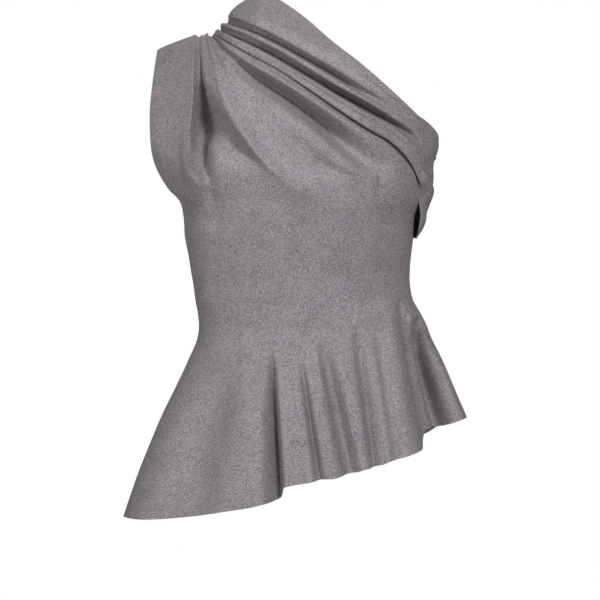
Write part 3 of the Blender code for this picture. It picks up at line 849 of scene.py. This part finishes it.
# How far out the sash reaches on the wearer's left, at each height.
SASH_SIDE = np.array([
    (95, 134), (106, 134), (115, 139), (124, 142), (135, 143), (144, 144), (150, 146), (160, 149),
    (176, 151), (190, 151), (197, 153), (214, 158), (222, 158), (246, 160), (281, 165), (345, 169),
    (410, 171),
], float)
SASH_OVER_BODICE = 2.4
SASH_UPPER_ROWS = 130
SASH_WRAP_ROWS = 40
SASH_SLACK = (70, 0.4)
SASH_FOLDS = (
    dict(
        name="lower edge",
        columns=8,
        above=SASH_LOWER_EDGE,
        below=((136, 170), (139, 155), (139, 143), (138, 131), (136, 118), (133, 106)),
        front=(
            (0, 0), (0.3, 0), (0.6, 1), (0.8, 1), (0.93, 1), (1.02, -3), (1.1, -7), (1.25, -8),
            (1.4, -3), (1.6, 0), (2, 0),
        ),
        back=((0, 0), (0.5, -1), (1, -1), (1.4, 0), (2, 0)),
        drop=6,
        tuck_before=((0, 0), (0.15, 5), (0.5, 8), (0.85, 4), (1, 2), (1.08, 0), (2, 0)),
        below_at_back=((136, 170), (128, 150), (122, 135), (120, 120), (124, 110), (133, 106)),
    ),
    dict(
        name="first pleat",
        columns=8,
        above=SASH_FIRST_PLEAT,
        below=((142, 176), (146, 158), (147, 143), (146, 130)),
        front=((0, 1), (0.15, 2), (0.5, 3), (0.85, 5), (1, 4), (1.5, 2), (2, 1)),
        back=((0, 2), (0.15, 4), (0.5, 6), (0.85, 5), (1, 3), (2, 1)),
    ),
    dict(
        name="brink of the deep valley",
        columns=8,
        above=(
            (-100, 353), (-89, 345), (-71, 335), (-36, 316), (-1, 294), (34, 273), (68, 253),
            (86, 244), (103, 235), (126, 219),
        ),
        below=((126, 219), (139, 193), (146, 168), (147, 145)),
        front=((0, 1), (0.15, 3), (0.5, 4), (0.8, 5), (0.95, 3), (1.2, 1), (2, 0)),
        back=((0, 0), (0.2, 1), (0.5, 1), (0.8, 0), (1, 0), (2, 0)),
    ),
    dict(
        name="deep valley",
        columns=8,
        above=(
            (-98, 357), (-87, 351), (-69, 341), (-34, 321), (1, 300), (36, 279), (70, 260),
            (88, 250), (105, 241), (126, 226),
        ),
        below=((126, 226), (140, 198), (147, 172), (148, 150)),
        front=(
            (0, -3), (0.1, -12), (0.3, -14), (0.5, -15), (0.7, -18), (0.85, -15), (0.95, -7),
            (1.05, -2), (2, -1),
        ),
        back=((0, -2), (0.2, -4), (0.5, -6), (0.8, -7), (1, -3), (2, -1)),
    ),
    dict(
        name="roll of the second pleat",
        columns=8,
        above=(
            (-96, 359), (-85, 354), (-67, 345), (-32, 326), (3, 304), (37, 283), (72, 264),
            (89, 254), (127, 231),
        ),
        below=((127, 231), (142, 204), (150, 180), (151, 160)),
        front=((0, 1), (0.15, 2), (0.5, 2), (0.8, 2), (1, 1), (2, 1)),
        back=((0, 1), (0.2, 2), (0.5, 3), (0.8, 3), (1, 2), (2, 1)),
        drop=14,
        tuck_before=((0, 0), (0.1, 3), (0.5, 3), (0.7, 4), (0.85, 4), (0.95, 0), (2, 0)),
    ),
    dict(
        name="crest of the second pleat",
        columns=8,
        above=(
            (-93, 365), (-85, 360), (-70, 353), (-36, 334), (-1, 312), (34, 290), (68, 269),
            (88, 258), (128, 235),
        ),
        below=((128, 235), (144, 209), (151, 187), (152, 171)),
        front=((0, 2), (0.15, 4), (0.5, 4), (0.8, 4), (1, 2), (2, 1)),
        back=((0, 2), (0.2, 4), (0.5, 5), (0.8, 5), (1, 3), (2, 1)),
    ),
    dict(
        name="narrow crease",
        columns=8,
        above=(
            (-90, 370), (-83, 366), (-68, 358), (-34, 339), (1, 317), (36, 296), (70, 275),
            (88, 264), (129, 239),
        ),
        below=((129, 239), (145, 214), (152, 195), (153, 182)),
        front=(
            (0, -5), (0.05, -13), (0.15, -13), (0.3, -12), (0.6, -11), (0.75, -5), (0.85, -1),
            (1, 0), (2, 0),
        ),
        back=((0, -3), (0.3, -3), (0.8, -2), (1, 0), (2, 0)),
    ),
    dict(
        name="roll of the top band",
        columns=8,
        above=(
            (-87, 374), (-80, 370), (-66, 362), (-32, 343), (3, 321), (38, 300), (72, 279),
            (90, 268), (130, 243),
        ),
        below=((130, 243), (147, 222), (155, 205), (155, 198)),
        front=((0, 1), (0.2, 1), (0.6, 1), (0.85, 1), (1, 1), (2, 0)),
        back=((0, 1), (0.2, 1), (0.6, 1), (1, 1), (2, 0)),
        drop=12,
        tuck_before=((0, 0), (0.08, 3), (0.5, 3), (0.75, 1), (0.85, 0), (2, 0)),
    ),
    dict(
        name="crest of the top band",
        columns=12,
        above=(
            (-78, 380), (-58, 367), (-26, 349), (9, 327), (44, 305), (78, 284), (96, 271),
            (131, 245),
        ),
        below=((131, 245), (148, 226), (156, 210), (157, 203)),
        front=((0, 3), (0.2, 5), (0.6, 5), (0.85, 4), (1, 2), (2, 0)),
        back=((0, 2), (0.2, 4), (0.6, 4), (1, 1), (2, 0)),
    ),
    dict(
        name="middle of the top band",
        columns=12,
        above=((-66, 387), (-42, 373), (-10, 355), (22, 332), (62, 302), (90, 280), (131, 247)),
        below=((131, 247), (149, 229), (157, 214), (158, 208)),
        front=((0, 2), (0.5, 3), (1, 1), (2, 0)),
        back=((0, 2), (0.5, 2), (1, 1), (2, 0)),
    ),
    dict(
        name="neck edge",
        columns=0,
        above=((-50, 396), (-29, 384), (1, 362), (32, 335), (69, 306), (106, 274), (132, 250)),
        below=((132, 250), (146, 240), (155, 230), (159, 219)),
        front=((0, 0), (0.5, 0), (2, 0)),
        back=((0, 0), (0.5, 0), (2, 0)),
    ),
)


def sash_right(height):
    """The sash's own end beside the bodice at a height."""
    return smooth(SASH_SIDE[:, 0], SASH_SIDE[:, 1], height)


FRONT_SASH_CREASES = (
    ((139, 178), (141, 150), 2.5, -2.5),
)


def sash_points(side, creases, seed):
    """Grid of points of the front or back sash's outer face; its last row is the underarm seam."""
    levels = levels_down(SASH_UPPER_ROWS, SASH_WRAP_ROWS)
    turn, height, lift = folded_grid(SASH_FOLDS, levels, side, sash_right, waist_fit=False)
    base = body_point(turn, height, side, sash_right)
    base[-1, :, 0] = sash_right(base[-1, :, 2])
    base[-1, :, 1] = 0.0
    lift = lift + SASH_OVER_BODICE + slack(base, *SASH_SLACK, seed)
    for start, end, width, depth in creases:
        lift = lift + crease(base, start, end, width, depth)
    return stand_off(base, body_outward(turn, height, side, sash_right), lift, side)


front_sash = cloth_sheet("front_sash_knit", sash_points(FRONT, FRONT_SASH_CREASES, 31))
face_outwards(front_sash, FRONT)
thicken(front_sash)
SASH_KNIT = knit_material("sash knit", (0.050, 0.046, 0.051, 1), (0.445, 0.424, 0.441, 1))
front_sash.data.materials.append(SASH_KNIT)
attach(front_sash, "root")
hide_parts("front_sash")

# Back sash.
# The same band of knit over the back, sewn to the front one at the shoulder and underarm. The
# photo shows only its lower end, which hangs as a small loop beside the bodice.

back_sash = cloth_sheet("back_sash_knit", sash_points(BACK, (), 41))
face_outwards(back_sash, BACK)
thicken(back_sash)
back_sash.data.materials.append(SASH_KNIT)
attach(back_sash, "root")
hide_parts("back_sash")

# Front peplum.
# A flared skirt of the same knit, cut longer on the viewer's left and seamed to the slanting
# waist. Its flutes start near the waist and open to the hem, and at two of them the hem steps up.

# Each flute line: place across at the waist and at the hem, height of the hem, lift off the form
# at the hem, and the share of the way down at which the lift starts.
FRONT_FLUTES = (
    ("side", "side", -230, 0, 0.0),
    (-117, -184, -223, 5, 0.2),
    (-86, -137, -216, -10, 0.1),
    (-64, -92, -206, 7, 0.15),
    (-55, -60, -200, 8, 0.2),
    (-50, -48, -197, 6, 0.15),
    (-43, -39, -195, -4, 0.1),
    (-40, -33, -193, -15, 0.08),
    (-38.5, -29, -191.5, -20, 0.08),
    (-37.5, -27, -187, -17, 0.08),
    (-36, -25, -179, -4, 0.1),
    (-33, -21, -176.5, 6, 0.1),
    (-24, -8, -174, 5, 0.1),
    (-12, 10, -171, 4, 0.2),
    (-8, 18, -169, -7, 0.15),
    (-4, 25, -168, 4, 0.15),
    (4, 36, -167, 6, 0.15),
    (10, 43, -165, 2, 0.1),
    (15, 50, -163, -10, 0.05),
    (20, 56, -162, -12, 0.05),
    (25, 61, -161, -4, 0.05),
    (30, 66, -159, 4, 0.05),
    (42, 70, -158, 5, 0.05),
    (51, 75, -157, 3, 0.0),
    (60, 82, -155, -7, 0.0),
    (68, 90, -153, 2, 0.0),
    (74, 98, -150, 6, 0.1),
    (82, 108, -147, 3, 0.3),
    (90, 120, -144, 7, 0.1),
    (98, 130, -141, 5, 0.0),
    (103, 136, -139, 0, 0.0),
    (105.5, 139, -137, -5, 0.0),
    (108, 141, -126, -12, 0.0),
    (111, 145, -117, -14, 0.0),
    (115, 151, -115, -15, 0.1),
    (118, 156, -114, -24, 0.2),
    (120.5, 161, -114, -40, 0.2),
    (122.5, 166, -114, -48, 0.2),
    (125, 172, -114, -42, 0.2),
    (127.5, 180, -112, -14, 0.3),
    (129, 187, -110, 0, 0.2),
    ("side", "side", -109, 0, 0.0),
)
PEPLUM_ROWS = 100
FLUTE_COLUMNS = 8
FLUTE_OPENS = 3
PEPLUM_FIT_FADE = 2
PEPLUM_SLACK = (80, 0.4)
LOOSE_AT_SHARE = 0.25


def peplum_points(flutes, side, seed):
    """Grid of points of the front or back peplum's outer face, from the waist down to the hem."""
    shares = np.arange(PEPLUM_ROWS + 1) / PEPLUM_ROWS
    lines = []
    for i, (waist, hem, hem_height, lift, start) in enumerate(flutes):
        end = "left" if i == 0 else "right"
        if waist == "side":
            seam_across = LEFT_SEAM_ACROSS if i == 0 else RIGHT_SEAM_ACROSS
            waist = body_size(end, waist_height(seam_across, side))
            hem = body_size(end, hem_height)
        top = waist_height(waist, side)
        height = top + (hem_height - top) * shares
        turn = turn_at(waist + (hem - waist) * shares, height, body_right)
        if i == 0:
            turn = np.zeros_like(shares)
        if i == len(flutes) - 1:
            turn = np.full_like(shares, np.pi)
        grown = np.clip((shares - start) / (1 - start), 0, 1)
        lines.append((turn, height, lift * (1 - (1 - grown) ** FLUTE_OPENS)))
    values = np.array(lines).transpose(2, 0, 1)
    spots = body_point(values[..., 0], values[..., 1], side, body_right)
    spots = spots + body_outward(values[..., 0], values[..., 1], side, body_right) * values[..., 2:]
    grid = through_lines(values, spots, [FLUTE_COLUMNS] * (len(lines) - 1))
    turn, height, lift = np.moveaxis(grid, -1, 0)
    fade = (1 - shares[:, None]) ** PEPLUM_FIT_FADE
    for _ in range(FIT_ROUNDS):
        across = body_point(turn, height, side, body_right)[0, :, 0]
        height = height + (waist_height(across, side) - height[0]) * fade
    base = body_point(turn, height, side, body_right)
    lift = lift + slack(base, *PEPLUM_SLACK, seed) * np.clip(shares[:, None] / LOOSE_AT_SHARE, 0, 1)
    return stand_off(base, body_outward(turn, height, side, body_right), lift, side)


front_peplum = cloth_sheet("front_peplum_knit", peplum_points(FRONT_FLUTES, FRONT, 51))
face_outwards(front_peplum, FRONT)
thicken(front_peplum)
# The peplum is the same knit as the bodice, but its two yarn colours are set a little darker: painted
# shade for the less light that falls on the peplum.
SHADED_PEPLUM_KNIT = knit_material("peplum knit with painted shade", (0.048, 0.045, 0.050, 1), (0.425, 0.410, 0.424, 1))
front_peplum.data.materials.append(SHADED_PEPLUM_KNIT)
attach(front_peplum, "root")
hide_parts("front_peplum")

# Back peplum.
# The same flared cut of knit at the back, seamed to the front at the sides and to the back bodice
# at the waist. The photo shows hardly any of it, so its flutes are even ones of its own.

BACK_FLUTES = (
    ("side", "side", -230, 0, 0.0),
    (-110, -180, -227, 4, 0.3),
    (-88, -144, -223, -6, 0.25),
    (-66, -106, -218, 7, 0.2),
    (-46, -72, -211, -7, 0.2),
    (-28, -44, -205, 5, 0.2),
    (-10, -16, -198, -8, 0.1),
    (8, 16, -190, 6, 0.2),
    (26, 46, -182, -6, 0.15),
    (44, 74, -174, 6, 0.1),
    (62, 102, -165, -8, 0.1),
    (82, 128, -153, 5, 0.1),
    (102, 152, -140, -7, 0.1),
    (116, 174, -125, 4, 0.2),
    ("side", "side", -109, 0, 0.0),
)
back_peplum = cloth_sheet("back_peplum_knit", peplum_points(BACK_FLUTES, BACK, 61))
face_outwards(back_peplum, BACK)
thicken(back_peplum)
back_peplum.data.materials.append(SHADED_PEPLUM_KNIT)
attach(back_peplum, "root")
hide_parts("back_peplum")

# Floor, backdrop, light and camera.
# Pale studio paper far under the top and white air behind it. The stronger soft light stands
# high at the right, a weaker one at the left, and a faint one behind. A long lens looks on from
# chest height, as in the photo. Sizes here are in metres.

FLOOR_DROP = 1.35
FLOOR_HALF = 2.0


def floor():
    """A flat square of pale paper under the top."""
    corners = ((-1, -1), (1, -1), (1, 1), (-1, 1))
    points = [(x * FLOOR_HALF, y * FLOOR_HALF, -FLOOR_DROP) for x, y in corners]
    mesh = bpy.data.meshes.new("floor")
    mesh.from_pydata(points, [], [(0, 1, 2, 3)])
    piece = bpy.data.objects.new("floor", mesh)
    bpy.context.scene.collection.objects.link(piece)
    paper = bpy.data.materials.new("pale paper")
    paper.use_nodes = True
    shader = paper.node_tree.nodes["Principled BSDF"]
    shader.inputs["Base Color"].default_value = (0.9, 0.9, 0.9, 1)
    shader.inputs["Roughness"].default_value = 0.9
    mesh.materials.append(paper)
    return piece


floor()

AIM = Vector((0.1132, 0.0, -0.313))
CAMERA_DISTANCE = 2.6
CAMERA_RISE = np.radians(4.0)
FIELD_WIDTH = 0.72
SENSOR_WIDTH = 36.0


def soft_light(name, place, energy, size):
    """A round soft lamp that looks at the middle of the top."""
    light = bpy.data.lights.new(name, "AREA")
    light.shape = "DISK"
    light.energy = energy
    light.size = size
    lamp = bpy.data.objects.new(name, light)
    lamp.location = place
    lamp.rotation_euler = (AIM - Vector(place)).to_track_quat("-Z", "Y").to_euler()
    bpy.context.scene.collection.objects.link(lamp)


soft_light("right", (0.9, -2.2, 1.3), 64.0, 0.8)
soft_light("left", (-1.9, -2.0, 0.5), 32.0, 1.0)
soft_light("behind", (0.5, 2.2, 1.9), 14.0, 1.2)

world = bpy.data.worlds.new("studio air")
world.use_nodes = True
air = world.node_tree.nodes
air["Background"].inputs["Color"].default_value = (1.0, 1.0, 1.0, 1.0)
air["Background"].inputs["Strength"].default_value = 0.12
seen = air.new("ShaderNodeBackground")
seen.inputs["Color"].default_value = (1.0, 1.0, 1.0, 1.0)
ray = air.new("ShaderNodeLightPath")
either = air.new("ShaderNodeMixShader")
wires = world.node_tree.links
wires.new(ray.outputs["Is Camera Ray"], either.inputs["Fac"])
wires.new(air["Background"].outputs["Background"], either.inputs[1])
wires.new(seen.outputs["Background"], either.inputs[2])
wires.new(either.outputs["Shader"], air["World Output"].inputs["Surface"])
bpy.context.scene.world = world
bpy.context.scene.view_settings.view_transform = "Standard"

lens = bpy.data.cameras.new("camera")
lens.sensor_width = SENSOR_WIDTH
lens.lens = SENSOR_WIDTH * CAMERA_DISTANCE / FIELD_WIDTH
camera = bpy.data.objects.new("camera", lens)
camera.location = AIM + CAMERA_DISTANCE * Vector((0.0, -np.cos(CAMERA_RISE), np.sin(CAMERA_RISE)))
camera.rotation_euler = (AIM - camera.location).to_track_quat("-Z", "Y").to_euler()
bpy.context.scene.collection.objects.link(camera)
bpy.context.scene.camera = camera
